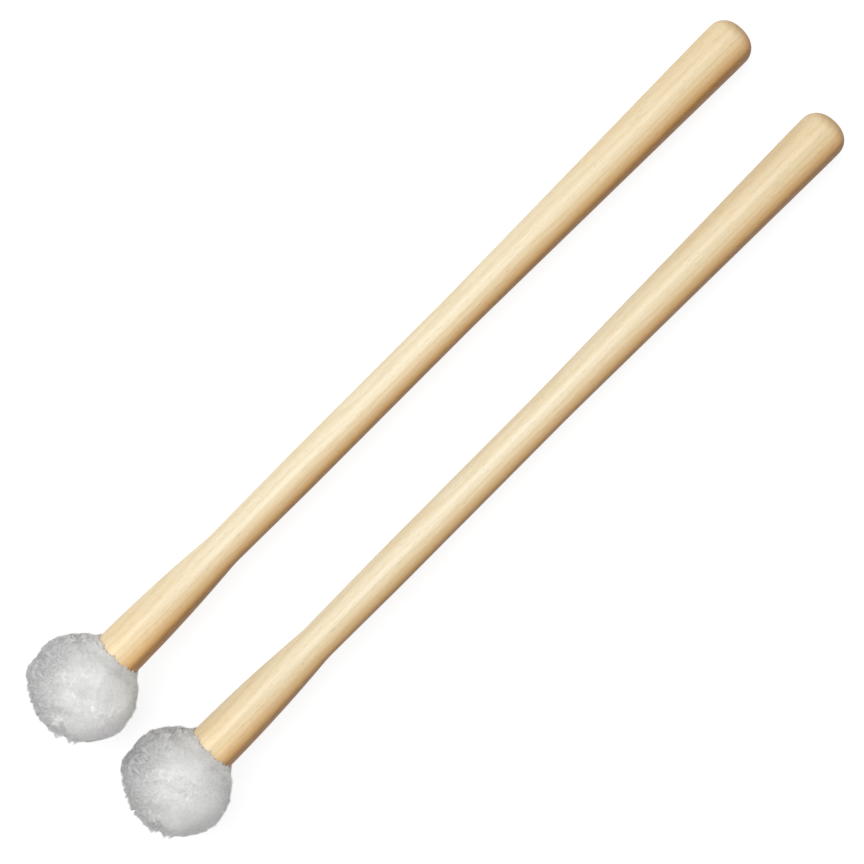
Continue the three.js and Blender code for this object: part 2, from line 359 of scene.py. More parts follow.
def towards(start, end, length):
    """The point that far from start on the way to end."""
    start, end = np.array(start), np.array(end)
    return tuple(start + (end - start) * length / np.linalg.norm(end - start))


def arc(layer, end_place, steps):
    """A layer's outline from its nose to a place past its middle."""
    angles = np.linspace(math.pi, math.acos(end_place / layer[1]), steps + 1)
    points = [(layer[1] * math.cos(a), layer[0] * math.sin(a)) for a in angles]
    return [(-layer[1], 0.0)] + points[1:]


def eased_corner(before, corner, after, ease, steps):
    """A corner between two straight stretches, eased over that length on each side."""
    return bend(towards(corner, before, ease), corner, towards(corner, after, ease), steps)


# %% [markdown]
# The long straight stretches are cut into short rings, so that every face stays near square. That costs
# little and gives clean shading and a clean mesh.

# %% Handle outline
RING_SPACING = 4.0
HANDLE_SIDES = 96
TAPER_EASE = 6.0
FLARE_STEPS, WAIST_STEPS, TAPER_STEPS, BUTT_STEPS = 24, 8, 6, 16

crest = (flare_crest, FLARE_RADIUS)
flare_bend = (flare_crest + FLARE_BEND_LENGTH, FLARE_BEND_RADIUS)
waist_corner = (waist, WAIST_RADIUS)
neck_end = (grip_start, GRIP_RADIUS)
grip_corner = (grip_end, GRIP_RADIUS)
land = (land_start, BUTT_RADIUS)
round_start = (BUTT_END - BUTT_ROUND, BUTT_RADIUS)
flare = bend(crest, flare_bend, towards(waist_corner, flare_bend, WAIST_EASE), FLARE_STEPS)
butt = [
    (
        BUTT_END - BUTT_ROUND + BUTT_ROUND * math.sin(a),
        BUTT_RADIUS - BUTT_ROUND + BUTT_ROUND * math.cos(a),
    )
    for a in np.linspace(0, math.pi / 2, BUTT_STEPS + 1)
]
bare_outline = [
    (tunnel_end, FLARE_RADIUS),
    *flare,
    *eased_corner(flare_bend, waist_corner, neck_end, WAIST_EASE, WAIST_STEPS)[1:],
    *eased_corner(waist_corner, neck_end, grip_corner, TAPER_EASE, TAPER_STEPS),
    *eased_corner(neck_end, grip_corner, land, TAPER_EASE, TAPER_STEPS),
    *eased_corner(grip_corner, land, round_start, BUTT_LAND / 2, TAPER_STEPS),
    *butt,
]


# %% The whole handle's outline
def with_rings(outline, spacing):
    """The outline with its long stretches cut into lengths of about the spacing."""
    cut = [outline[0]]
    for start, end in zip(outline, outline[1:]):
        pieces = max(1, round(math.dist(start, end) / spacing))
        for i in range(1, pieces + 1):
            cut.append(towards(start, end, math.dist(start, end) * i / pieces))
    return cut


handle_outline = [
    (spigot_end, 0),
    (spigot_end, SPIGOT_RADIUS - SPIGOT_CHAMFER),
    (spigot_end + SPIGOT_CHAMFER, SPIGOT_RADIUS),
    (shoulder, SPIGOT_RADIUS),
    (shoulder, FLARE_RADIUS - SHOULDER_CHAMFER),
    (shoulder + SHOULDER_CHAMFER, FLARE_RADIUS),
    (tunnel_start, FLARE_RADIUS),
    (tunnel_start, FLARE_RADIUS - GROOVE_DEPTH),
    (tunnel_end, FLARE_RADIUS - GROOVE_DEPTH),
    *with_rings(bare_outline, RING_SPACING),
    (BUTT_END, 0),
]
print("handle's outline:", len(handle_outline), "points")

# %% [markdown]
# ## Node helpers
# A material is a small network of nodes. These helpers add a node with its settings and join two sockets,
# so that each material below reads as a list of what it does.


# %% Node helpers
class Nodes:
    """Adds nodes to one material and joins them."""

    def __init__(self, name):
        self.material = bpy.data.materials.new(name)
        self.material.use_nodes = True
        self.tree = self.material.node_tree
        self.surface = self.tree.nodes["Principled BSDF"]

    def add(self, kind, inputs=(), **settings):
        node = self.tree.nodes.new(f"ShaderNode{kind}")
        for key, value in settings.items():
            setattr(node, key, value)
        for key, value in dict(inputs).items():
            self.put(value, node.inputs[key])
        return node

    def put(self, value, socket):
        if isinstance(value, bpy.types.NodeSocket):
            self.tree.links.new(value, socket)
        else:
            socket.default_value = value

    def math(self, operation, *values):
        return self.add("Math", enumerate(values), operation=operation).outputs[0]

    def stretch(self, value, low, high, new_low=0.0, new_high=1.0):
        inputs = {"Value": value, "From Min": low, "From Max": high, "To Min": new_low, "To Max": new_high}
        return self.add("MapRange", inputs, clamp=True).outputs[0]

    def noise(self, vector, scale, detail=3.0, roughness=0.5):
        inputs = {"Vector": vector, "Scale": scale, "Detail": detail, "Roughness": roughness}
        return self.add("TexNoise", inputs).outputs["Fac"]

    def mixed(self, factor, first, second, blend="MIX"):
        node = self.add("Mix", data_type="RGBA", blend_type=blend)
        self.put(factor, node.inputs["Factor"])
        self.put(first, node.inputs[6])
        self.put(second, node.inputs[7])
        return node.outputs[2]

    def place(self, scale=(1, 1, 1), location=(0, 0, 0)):
        """The piece's own coordinates in millimetres, scaled and moved."""
        own = self.add("TexCoord").outputs["Object"]
        return self.add("Mapping", {"Vector": own, "Scale": scale, "Location": location}).outputs[0]

    def relief(self, height, strength, depth):
        """Shades the surface as if it rose and fell by that depth in millimetres."""
        bump = self.add("Bump", {"Height": height, "Strength": strength, "Distance": depth * MM})
        self.put(bump.outputs[0], self.surface.inputs["Normal"])

    def finish(self, inputs):
        for key, value in inputs.items():
            self.put(value, self.surface.inputs[key])
        print(self.material.name, "has", len(self.tree.nodes), "nodes")
        return self.material


# %% [markdown]
# ## Hickory
# Hickory is pale and strong, with growth rings that differ only a little in colour, long fine fibres and
# short open pores. These handles are cut where the pale sapwood meets the brown heartwood, so they are
# cream above and brown below and on one side. That brown is partly painted shade: the pith is placed so
# that the brown and its darkest edge lie on the side of the handle that the key lamp reaches least. A
# picture wrapped round the stick would show a seam and would not reach its end. A solid texture has the
# colour at each point
# inside the wood, as the real tree does: the turned surface then cuts through the rings by itself, as long
# bands on the taper and as arcs on the butt.

# %% Hickory colours
PALE_WOOD = (0.775, 0.68, 0.49, 1)
WARM_WOOD = (0.87, 0.72, 0.47, 1)
TAN_WOOD = (0.70, 0.56, 0.34, 1)
# The heartwood's brown and its deep brown edge also paint shade on the side the key lamp reaches least
HEART_WOOD_AND_SHADE = (0.655, 0.36, 0.107, 1)
DEEP_HEART_AND_SHADE = (0.31, 0.14, 0.03, 1)
PORE_BROWN = (0.45, 0.30, 0.15, 1)
FLECK_CREAM = (0.84, 0.76, 0.56, 1)
# The ends' tints are painted shade; the rounding's stronger one is also a little end grain
END_SHADE_TINT = (0.94, 0.88, 0.78, 1)
END_GRAIN_AND_SHADE_TINT = (0.68, 0.50, 0.33, 1)

# %% Growth rings
PITH_OFFSET = (52.0, 17.0)
PITH_DISTANCE = math.hypot(*PITH_OFFSET)
RINGS_PER_MM = 0.42
RING_DRIFT, DRIFT_SCALE = 5.0, (0.012, 0.10, 0.10)
RING_STRENGTH, PATCH_STRENGTH = 0.55, 0.28
PATCH_SCALE, PATCH_PLACE = (0.010, 0.16, 0.16), (11, 0, 0)

# Where each wood begins and where it is full, in millimetres further from the pith than the handle's axis
WARM_REACH, HEART_AND_SHADE_REACH, DEEP_REACH = (3.2, 1.2), (1.8, -3.6), (-3.2, -5.0)


def pith_distance(n):
    """How far each point lies from the tree's pith, beside the handle and below it."""
    split = n.add("SeparateXYZ", {"Vector": n.place(location=(0, *PITH_OFFSET))})
    across = n.math("POWER", split.outputs["Y"], 2.0)
    upright = n.math("POWER", split.outputs["Z"], 2.0)
    return n.math("SQRT", n.math("ADD", across, upright))


def towards_pith(n, distance, reach):
    """Rises from 0 to 1 between the two places of a wood's reach."""
    return n.stretch(distance, *(PITH_DISTANCE + place for place in reach))


def late_wood(n, distance):
    """The denser edge of each growth ring, which darkens slowly and ends at once."""
    drift = n.noise(n.place(DRIFT_SCALE), scale=1.0, detail=2.0)
    wavy = n.math("ADD", distance, n.math("MULTIPLY", drift, RING_DRIFT))
    ring = n.math("FRACT", n.math("MULTIPLY", wavy, RINGS_PER_MM))
    darkening = n.math("POWER", n.stretch(ring, low=0.0, high=0.75), 3.0)
    return n.math("MULTIPLY", darkening, n.stretch(ring, low=1.0, high=0.9))


def sapwood(n, distance):
    """Cream wood that warms towards the pith, with its rings and some broad tan patches."""
    warm = n.mixed(towards_pith(n, distance, WARM_REACH), PALE_WOOD, WARM_WOOD)
    tone = n.mixed(n.math("MULTIPLY", late_wood(n, distance), RING_STRENGTH), warm, TAN_WOOD)
    patches = n.noise(n.place(PATCH_SCALE, PATCH_PLACE), scale=1.0, detail=2.0)
    patches = n.math("MULTIPLY", n.stretch(patches, low=0.35, high=0.7), PATCH_STRENGTH)
    return n.mixed(patches, tone, TAN_WOOD)


# %% [markdown]
# A freshly turned stick also shows its fibres: fine tan lines, paler streaks that fade out on the brown
# side, which is heartwood and painted shade, and the pores, which the lathe cuts open as short brown
# dashes.
# Here they are noise stretched along the handle, and the shading alone shows their relief, which is too
# fine for a mesh.

# %% Fibres and pores
FIBRE_SCALE = (0.45, 2.4, 2.4)
STREAK_SCALE, STREAK_PLACE = (0.14, 1.7, 1.7), (37, 0, 0)
PORE_SCALE, PORE_PLACE = (0.30, 3.4, 3.4), (71, 0, 0)
PORE_STRENGTH, FIBRE_RISE = 0.38, 0.25


def grained(n, tone, heart_and_shade):
    """The tone with its fibres, pale streaks and brown pores, and the height of its surface."""
    fibre = n.noise(n.place(FIBRE_SCALE), scale=1.0, detail=4.0, roughness=0.6)
    tone = n.mixed(n.stretch(fibre, low=0.35, high=0.75, new_high=0.32), tone, TAN_WOOD)
    streak = n.noise(n.place(STREAK_SCALE, STREAK_PLACE), scale=1.0, detail=3.0)
    strength = n.stretch(heart_and_shade, low=0.1, high=0.8, new_low=0.4, new_high=0.06)
    streaks = n.math("MULTIPLY", n.stretch(streak, low=0.54, high=0.70), strength)
    tone = n.mixed(streaks, tone, FLECK_CREAM)
    pore = n.noise(n.place(PORE_SCALE, PORE_PLACE), scale=1.0, detail=1.0)
    dashes = n.stretch(pore, low=0.64, high=0.72)
    tone = n.mixed(n.math("MULTIPLY", dashes, PORE_STRENGTH), tone, PORE_BROWN)
    return tone, n.math("SUBTRACT", n.math("MULTIPLY", fibre, FIBRE_RISE), dashes)


# %% [markdown]
# The flare and the butt are a little browner, which is painted shade that dims them as the light fades
# towards the ends, and the butt's rounding is browner still: a little because its end grain soaks up more
# of the lacquer, and mostly as painted shade where it turns away from the lamps. The tint follows the place
# along the handle, so it needs no painted picture and is the same from all sides. The lacquer is a thin
# clear coat, a little rough, as satin is.

# %% Hickory material
END_GRAIN_AND_SHADE_FADE = (5.8, 1.2)
END_GRAIN_AND_SHADE_CURVE = 1.5


def browned_and_shaded(n, tone):
    """The tone with painted shade: browner at the flare and the butt, and much more so on the butt's
    rounding.
    """
    along = n.add("SeparateXYZ", {"Vector": n.place()}).outputs["X"]
    at_flare, at_butt = n.stretch(along, waist, flare_crest), n.stretch(along, grip_end, land_start)
    ends = n.math("MAXIMUM", at_flare, at_butt)
    # Painted shade: the tone is dimmed at the flare and the butt, and more on the butt's rounding
    tone = n.mixed(ends, tone, n.mixed(1.0, tone, END_SHADE_TINT, "MULTIPLY"))
    rounding = n.stretch(along, *(BUTT_END - depth for depth in END_GRAIN_AND_SHADE_FADE))
    end_grain_and_shade = n.math("POWER", rounding, END_GRAIN_AND_SHADE_CURVE)
    return n.mixed(end_grain_and_shade, tone, n.mixed(1.0, tone, END_GRAIN_AND_SHADE_TINT, "MULTIPLY"))


def hickory():
    """Sapwood meeting the heartwood, whose brown side is also painted shade, under a satin lacquer."""
    n = Nodes("lacquered_hickory")
    distance = pith_distance(n)
    # The brown side is heartwood and painted shade, on the side of the handle away from the key lamp
    heart_and_shade = towards_pith(n, distance, HEART_AND_SHADE_REACH)
    tone = n.mixed(heart_and_shade, sapwood(n, distance), HEART_WOOD_AND_SHADE)
    tone = n.mixed(towards_pith(n, distance, DEEP_REACH), tone, DEEP_HEART_AND_SHADE)
    tone, height = grained(n, tone, heart_and_shade)
    n.relief(height, strength=0.12, depth=0.05)
    return n.finish(
        {
            "Base Color": browned_and_shaded(n, tone),
            "Roughness": 0.4,
            "Specular IOR Level": 0.0,
            "Coat Weight": 0.4,
            "Coat Roughness": 0.36,
            "Coat IOR": 2.0,
        }
    )


wood = hickory()

# %% Turn the handles
SHARP_CORNER = math.radians(35)
handle_points, handle_faces = turned_rings(handle_outline, HANDLE_SIDES)
for hand in HANDS:
    handle = piece("turned_handle", hand, handle_points, handle_faces, wood, SHARP_CORNER)
    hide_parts(f"{hand}_handle")

# %% [markdown]
# ## Felt inside the head
# The handle's spigot is glued into a core of hard pressed felt, which gives the stroke its weight. A softer
# felt goes round it, so that the head yields. Both are hidden. Each is the construction's outline turned
# once more, with its points moved by a few hundredths of a millimetre, as felt is where its fibres stand
# up. A displacement modifier could do that too, but it would also move the points on the axis.

# %% Felt forms
INNER_SIDES, INNER_STEPS = 96, 30
FELT_ROUGHNESS, FELT_GRAIN = 0.06, 0.8
NEAR_MIDDLE = 1.0
BORE_RINGS = 8


def felted(points):
    """The points, roughened as felt is: moved out or in, apart from those near the very middle."""
    rough = []
    for p in points:
        point = Vector(p)
        away = Vector((0, point.y, point.z)) if abs(point.x) < NEAR_MIDDLE else point
        if away.length > NEAR_MIDDLE:
            point += away.normalized() * FELT_ROUGHNESS * noise.noise(point / FELT_GRAIN)
        rough.append(tuple(point))
    return rough


spigot_bore = SPIGOT_RADIUS + FIT_GAP
bore_end = spigot_end - FIT_GAP
bore_rings = [core_face + (bore_end - core_face) * i / BORE_RINGS for i in range(1, BORE_RINGS + 1)]
core_outline = [
    *arc(core_outer, core_face, INNER_STEPS),
    (core_face, (spigot_bore + place_on(core_outer[::-1], core_face)) / 2),
    (core_face, spigot_bore),
    *[(place, spigot_bore) for place in bore_rings],
    (bore_end, 0),
]
underlay_outline = [
    *arc(underlay_outer, tunnel_start, INNER_STEPS),
    (tunnel_start, neck_bore),
    *reversed(arc(underlay_inner, place_on(underlay_inner, neck_bore), INNER_STEPS)),
]
print("felt outlines:", len(core_outline), "and", len(underlay_outline), "points")


# %% Felt material
def felt(name, pale, dark, fibre_scale):
    """Pressed wool: short fibres lying in all directions, a few of them darker."""
    n = Nodes(name)
    warp = n.add("TexNoise", {"Vector": n.place(), "Scale": 0.7, "Detail": 2.0}).outputs["Color"]
    bent = n.add("VectorMath", {0: n.place(), 1: warp}, operation="ADD").outputs["Vector"]
    fibres = n.noise(bent, fibre_scale, detail=6.0, roughness=0.7)
    clumps = n.noise(n.place(), scale=0.25, detail=3.0)
    tone = n.mixed(n.stretch(fibres, low=0.35, high=0.68), pale, dark)
    tone = n.mixed(n.stretch(clumps, low=0.4, high=0.7, new_high=0.3), tone, dark)
    n.relief(fibres, strength=0.6, depth=0.12)
    return n.finish(
        {"Base Color": tone, "Roughness": 0.95, "Specular IOR Level": 0.15, "Sheen Weight": 0.3}
    )


HARD_PALE, HARD_DARK = (0.70, 0.66, 0.57, 1), (0.58, 0.53, 0.44, 1)
SOFT_PALE, SOFT_DARK = (0.83, 0.81, 0.75, 1), (0.72, 0.70, 0.62, 1)
hard_felt = felt("hard_wool_felt", HARD_PALE, HARD_DARK, fibre_scale=2.4)
soft_felt = felt("soft_wool_felt", SOFT_PALE, SOFT_DARK, fibre_scale=1.6)

# %% Put the felt in both heads
for hand in HANDS:
    for name, outline, material in (
        ("felt_core", core_outline, hard_felt),
        ("felt_underlay", underlay_outline, soft_felt),
    ):
        felt_points, felt_faces = turned_rings(outline, INNER_SIDES)
        layer = piece(f"{name}_dressed", hand, felted(felt_points), felt_faces, material, SHARP_CORNER)
        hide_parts(f"{hand}_{name}")

# %% [markdown]
# ## The draw cord
# A waxed cord runs in the fleece's edge and is wound three times round a groove in the neck, then knotted.
# It is twisted from three strands, so its section is three lobes that turn along it. In Blender a curve
# with a bevel makes a plain round cord, and here the rings are written out because the lobes have to turn.

# %% Where the cord is wound
CORD_DIAMETER, CORD_PITCH, CORD_SIDES = 0.75, 1.2, 12
KNOT_DIAMETER, KNOT_LENGTH = 1.4, 2.4
STRANDS, STRAND_DEPTH, TWIST_LENGTH = 3, 0.1, 3.0
CORD_STEPS_PER_TURN = 90
groove_radius = FLARE_RADIUS - GROOVE_DEPTH
wind_radius = groove_radius + FIT_GAP + CORD_DIAMETER / 2
knot_radius = groove_radius + FIT_GAP + KNOT_DIAMETER / 2
cord_turns = math.floor((tunnel_end - tunnel_start - KNOT_DIAMETER - 2 * FIT_GAP) / CORD_PITCH)
wind_length = cord_turns * CORD_PITCH
wind_start = (tunnel_start + tunnel_end - wind_length - KNOT_DIAMETER + CORD_DIAMETER) / 2
cord_length = cord_turns * math.hypot(2 * math.pi * wind_radius, CORD_PITCH)
print("draw cord:", cord_turns, "turns,", round(cord_length), "mm long")


# %% Wind the cord
def wound_cord():
    """Points and faces of the cord's turns round the neck, with closed ends."""
    steps = cord_turns * CORD_STEPS_PER_TURN
    points, faces = [], []
    for step in range(steps + 1):
        angle = step / CORD_STEPS_PER_TURN * 2 * math.pi
        place = wind_start + step / steps * wind_length
        outwards = Vector((0, math.cos(angle), math.sin(angle)))
        for i in range(CORD_SIDES):
            turn = 2 * math.pi * i / CORD_SIDES
            twist = angle * wind_radius / TWIST_LENGTH * 2 * math.pi / STRANDS
            lobe = 1 - STRAND_DEPTH * (1 - math.cos(STRANDS * turn - STRANDS * twist)) / 2
            side = outwards * math.cos(turn) + Vector((1, 0, 0)) * math.sin(turn)
            points.append(Vector((place, 0, 0)) + outwards * wind_radius + side * CORD_DIAMETER / 2 * lobe)
    for ring in range(steps):
        for i in range(CORD_SIDES):
            a, b = ring * CORD_SIDES + i, ring * CORD_SIDES + (i + 1) % CORD_SIDES
            faces.append((a, a + CORD_SIDES, b + CORD_SIDES, b))
    last = steps * CORD_SIDES
    faces += [tuple(range(CORD_SIDES)), tuple(last + i for i in reversed(range(CORD_SIDES)))]
    return points, faces


# %% Tie the knot
KNOT_SIDES, KNOT_STEPS = 24, 16
KNOT_GROOVE = 0.06
KNOT_FULLNESS = 1 - KNOT_GROOVE
KNOT_CROSSINGS, KNOT_TWIST = 3, 4


def knot():
    """Points and faces of the pulled knot, lumpy where the cord crosses itself."""
    half = KNOT_DIAMETER / 2
    angles = np.linspace(0, math.pi, KNOT_STEPS + 1)
    outline = [(-half * math.cos(a), half * math.sin(a)) for a in angles]
    outline[0], outline[-1] = (-half, 0), (half, 0)
    round_points, faces = turned_rings(outline, KNOT_SIDES)
    place = wind_start + wind_length + (KNOT_DIAMETER - CORD_DIAMETER) / 2
    longer = KNOT_LENGTH / KNOT_DIAMETER
    points = []
    for x, y, z in round_points:
        groove = KNOT_GROOVE * math.cos(KNOT_CROSSINGS * math.atan2(y, x) + KNOT_TWIST * z / half)
        lumpy = Vector((x, y, z)) * (KNOT_FULLNESS + groove)
        points.append(Vector((lumpy.x + place, lumpy.y + knot_radius, lumpy.z * longer)))
    return points, faces


# %% Cord material
CORD_TAN, CORD_BROWN, CORD_STAIN = (0.66, 0.60, 0.47, 1), (0.50, 0.43, 0.31, 1), (0.46, 0.39, 0.27, 1)


def cord_finish():
    """Waxed linen thread: tan, flecked and stained with brown, with a dull wax gloss."""
    n = Nodes("twisted_cord")
    flecks = n.noise(n.place(), scale=3.5, detail=4.0)
    stains = n.noise(n.place(location=(5, 0, 0)), scale=0.5, detail=2.0)
    tone = n.mixed(n.stretch(flecks, low=0.35, high=0.7), CORD_TAN, CORD_BROWN)
    tone = n.mixed(n.stretch(stains, low=0.4, high=0.7, new_high=0.4), tone, CORD_STAIN)
    n.relief(flecks, strength=0.4, depth=0.05)
    return n.finish({"Base Color": tone, "Roughness": 0.55, "Specular IOR Level": 0.4})


waxed_cord = cord_finish()

# %% Put the cord on both necks
cord_points, cord_faces = wound_cord()
knot_points, knot_faces = knot()
cord_faces += [tuple(i + len(cord_points) for i in face) for face in knot_faces]
for hand in HANDS:
    cord = piece("cord", hand, cord_points + knot_points, cord_faces, waxed_cord)
    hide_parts(f"{hand}_draw_cord")

# %% [markdown]
# ## The fleece's form
# The cover is a knitted fleece drawn over the felt and gathered behind the head. From a step away it is a
# ball with a soft, uneven surface: broad lumps where the fleece is pulled tight, small bumps round its
# outline, and on the nose and one side long tufts with narrow creases between them. A displacement modifier
# could shape the knit, but the pile grown on it later has to follow the same surface, so one function gives
# its height everywhere and both use it.

# %% Where the pile is rough
ROUGH_SIDE = Vector((-0.85, 0.5, 0.0)).normalized()
RAGGED_SIDE = Vector((-0.97, -0.1, 0.2)).normalized()
ROUGH_FROM, RAGGED_FROM = (0.1, 0.8), (0.45, 0.9)
LEAST_ROUGHNESS = 0.1


def smooth(value, low, high):
    """Rises from 0 to 1 between the two values, slowly at both ends."""
    share = min(1.0, max(0.0, (value - low) / (high - low)))
    return share * share * (3 - 2 * share)


def roughness_at(direction):
    """How tufted the pile is there, from 0.1 where it lies smooth to 1 on the nose and the upper left."""
    return LEAST_ROUGHNESS + (1 - LEAST_ROUGHNESS) * smooth(direction.dot(ROUGH_SIDE), *ROUGH_FROM)


def raggedness_at(direction):
    """How far the locks stand out there, from 0 to 1 on the nose, where the pile is teased into points."""
    return smooth(direction.dot(RAGGED_SIDE), *RAGGED_FROM)


# %% Lumps, bumps and tufts
LUMP_SIZE, LUMP_HEIGHT = 9.0, 0.45
BUMP_SIZE, BUMP_HEIGHT = 2.3, 1.05
LEVEL_SPREAD = 0.6
TUFT_SIZE, TUFT_HEIGHT = (1.9, 6.0), 0.8
TUFT_BEND, TUFTS_FROM = 1.2, (0.4, 0.8)
CREASE_WIDTH, CREASE_DEPTH = 0.16, 0.65
STROKE_SIZE = 6.0
FLEECE_SEED = Vector((3.1, 7.7, 1.9))
noise.seed_set(7)

# Broad lumps seen in the outline from above: the angle from the butt's direction towards the photograph's
# upper left, how far it reaches to each side in degrees, and its height in millimetres
LUMPS = ((118, 13, 1.8), (92, 30, 0.7), (78, 14, 0.3), (206, 26, -0.4), (155, 14, -0.5), (-48, 34, -0.9))


def lump_height(point):
    """How far the fleece stands proud of an even ball at a point on it, in millimetres."""
    direction = point.normalized()
    around = math.degrees(math.atan2(direction.y, direction.x))
    level = math.exp(-((direction.z / LEVEL_SPREAD) ** 2))
    height = 0.0
    for angle, width, rise in LUMPS:
        turn = (around - angle + 180) % 360 - 180
        height += rise * math.exp(-((turn / width) ** 2)) * level
    height += LUMP_HEIGHT * noise.noise(point / LUMP_SIZE + FLEECE_SEED)
    height += BUMP_HEIGHT * level * noise.noise(point / BUMP_SIZE + FLEECE_SEED * 3)
    return height + tuft_height(point) * roughness_at(direction)


def tuft_height(point):
    """Long tufts that run down the head's sides, with narrow creases between them."""
    bent = point + noise.noise_vector(point / STROKE_SIZE) * TUFT_BEND
    flat = Vector((bent.x, bent.y, 0)).normalized() * HEAD_RADIUS
    width, length = TUFT_SIZE
    tuft = noise.noise(Vector((flat.x / width, flat.y / width, bent.z / length)) + FLEECE_SEED * 2)
    crease = max(0.0, 1 - abs(tuft) / CREASE_WIDTH)
    off_top = smooth(math.hypot(point.x, point.y) / HEAD_RADIUS, *TUFTS_FROM)
    return (TUFT_HEIGHT * abs(tuft) - CREASE_DEPTH * crease) * off_top


print("broad lumps:", len(LUMPS))

# %% [markdown]
# The head rests on the table, and its soft pile gives way there. A cloth simulation would find the same
# small flat in many steps. Here every point that would sink in is squeezed just above the table instead,
# and the points at the neck are kept outside the wood.

# %% Pressed flat on the table
REST_SOFTNESS = 0.25
REST_CLEARANCE = 0.05
RIM_TUCK = 0.22
to_scene = lay["right"]
to_mallet = to_scene.inverted()


def rested(point):
    """The point, squeezed upwards where it would sink into the table."""
    laid = to_scene @ point
    height = laid.z / MM
    if height < REST_CLEARANCE + REST_SOFTNESS:
        squeezed = REST_SOFTNESS * math.exp((height - REST_CLEARANCE) / REST_SOFTNESS - 1)
        laid.z = (REST_CLEARANCE + squeezed) * MM
        return to_mallet @ laid
    return point


def clear_of_neck(point):
    """The point, moved out of the handle's neck where it would sink into it."""
    radius = math.hypot(point.y, point.z)
    least = neck_bore - RIM_TUCK
    if point.x > tunnel_end and radius < least:
        point.y *= least / max(radius, 0.01)
        point.z *= least / max(radius, 0.01)
    return point


# %% Fleece ball
COVER_SIDES, COVER_ARC_STEPS = 240, 110
PILE_DEPTH = 0.95
RIM_PAST_SKIN, RIM_OUTSIDE, RIM_INSIDE = 0.2, 0.25, 0.05
CALM_LENGTH, CALM_SHARE = 3.5, 0.8

roof_radius = groove_radius + FIT_GAP + KNOT_DIAMETER + FIT_GAP
skin = ball(PILE_DEPTH)
skin_end = place_on(skin, neck_bore + COVER_RIM / 2)
cover_outline = [
    *arc(skin, skin_end, COVER_ARC_STEPS),
    (skin_end + RIM_PAST_SKIN, neck_bore + RIM_OUTSIDE),
    (skin_end + RIM_PAST_SKIN, neck_bore + RIM_INSIDE),
    (cover_mouth, neck_bore - RIM_TUCK),
    (tunnel_end, neck_bore - RIM_TUCK / 2),
    (tunnel_end, roof_radius),
    *reversed(arc(cover_inner, place_on(cover_inner, roof_radius), INNER_STEPS)),
]


def fluffed(points):
    """The cover's points with the fleece's lumps on its outside, calmer at its edge."""
    moved = []
    outside = 1 + COVER_ARC_STEPS * COVER_SIDES
    for i, p in enumerate(points):
        point = Vector(p)
        if i < outside:
            edge = smooth(point.x, skin_end - CALM_LENGTH, skin_end)
            point += point.normalized() * lump_height(point) * (1 - CALM_SHARE * edge)
            point = rested(clear_of_neck(point))
        moved.append(tuple(point))
    return moved


cover_points, cover_faces = turned_rings(cover_outline, COVER_SIDES)
fluffy = fluffed(cover_points)
print("fleece ball without its pile:", len(fluffy), "points")

# %% [markdown]
# ## Locks of fleece
# The pile is made of fine fibres. An even layer of short, nearly straight ones, the down, hides the knit.
# Over it lie longer bent ones that cling together at their tips in small locks. Blender's hair tools clump
# strands in the same way, but their strands are no mesh. Here each fibre is a thin closed spike with three
# sides. A smooth noise field gives neighbours a common direction, as if a hand had stroked the fleece. On
# the nose and the tufted side the pile runs down the head, and the nose's locks stand out in points.

# %% Roots all over the ball
ROOT_SCATTER = 0.9


def spread_directions(count, chance):
    """Directions spread evenly over a ball, each a little out of its place."""
    turn = math.pi * (3 - math.sqrt(5))
    for i in range(count):
        x = 1 - 2 * (i + 0.5) / count
        flat = math.sqrt(1 - x * x)
        place = Vector((x, flat * math.cos(i * turn), flat * math.sin(i * turn)))
        nudge = Vector([chance.gauss(0, ROOT_SCATTER / math.sqrt(count)) for _ in range(3)])
        yield (place + nudge).normalized()


def on_fleece(direction):
    """The point of the fleece ball's outside in that direction."""
    radius, reach = skin
    even = Vector((direction.x * reach, direction.y * radius, direction.z * radius))
    return even + direction * lump_height(even)


# %% How the pile lies
DOWNWARDS, TOWARDS_ROUGH = 0.9, 0.45
NEARER_BUTT = (0.2, 0.7)
ROUGH_ORDER = 0.6


def stroked(point, normal, chance, jitter):
    """The direction in which the pile lies there: down where it is tufted, as last stroked elsewhere."""
    rough = roughness_at(normal)
    loose = 1 - ROUGH_ORDER * rough
    flow = noise.noise_vector(point / STROKE_SIZE + FLEECE_SEED) * loose
    flow += Vector((0, 0, -DOWNWARDS * rough))
    flow += ROUGH_SIDE * TOWARDS_ROUGH * (1 - rough) * (1 - smooth(normal.x, *NEARER_BUTT))
    flow += Vector([chance.gauss(0, jitter * loose) for _ in range(3)])
    flow -= normal * flow.dot(normal)
    return flow.normalized() if flow.length > 1e-4 else normal.orthogonal().normalized()


def drop(length):
    """How far a fibre of that length bends down at its tip to follow the round head."""
    return length**2 / (2 * HEAD_RADIUS)


# %% Where the locks grow
from mathutils.kdtree import KDTree

LOCK_COUNT, LOCK_LENGTH, LOCK_JITTER = 1100, (2.0, 3.6), 0.25
LOCK_RISE = (0.1, 0.9)
RAGGED_HEIGHT, RAGGED_CURVE = 3.1, 1.3

chance = random.Random(5)
lock_roots, lock_tips = [], []
for normal in spread_directions(LOCK_COUNT, chance):
    root = on_fleece(normal)
    along = stroked(root, normal, chance, LOCK_JITTER)
    length = chance.uniform(*LOCK_LENGTH)
    rise = chance.uniform(*LOCK_RISE) * roughness_at(normal) - drop(length)
    rise += RAGGED_HEIGHT * chance.random() ** RAGGED_CURVE * raggedness_at(normal)
    lock_roots.append(root)
    lock_tips.append(root + along * length + normal * rise)
locks = KDTree(LOCK_COUNT)
for i, root in enumerate(lock_roots):
    locks.insert(root, i)
locks.balance()
print("locks:", len(lock_tips))


def nearest_tip(root):
    """The tip of the lock that grows nearest to a root."""
    _, lock, _ = locks.find(root)
    return lock_tips[lock]


# %% One fibre
FIBRE_SIDES = 3


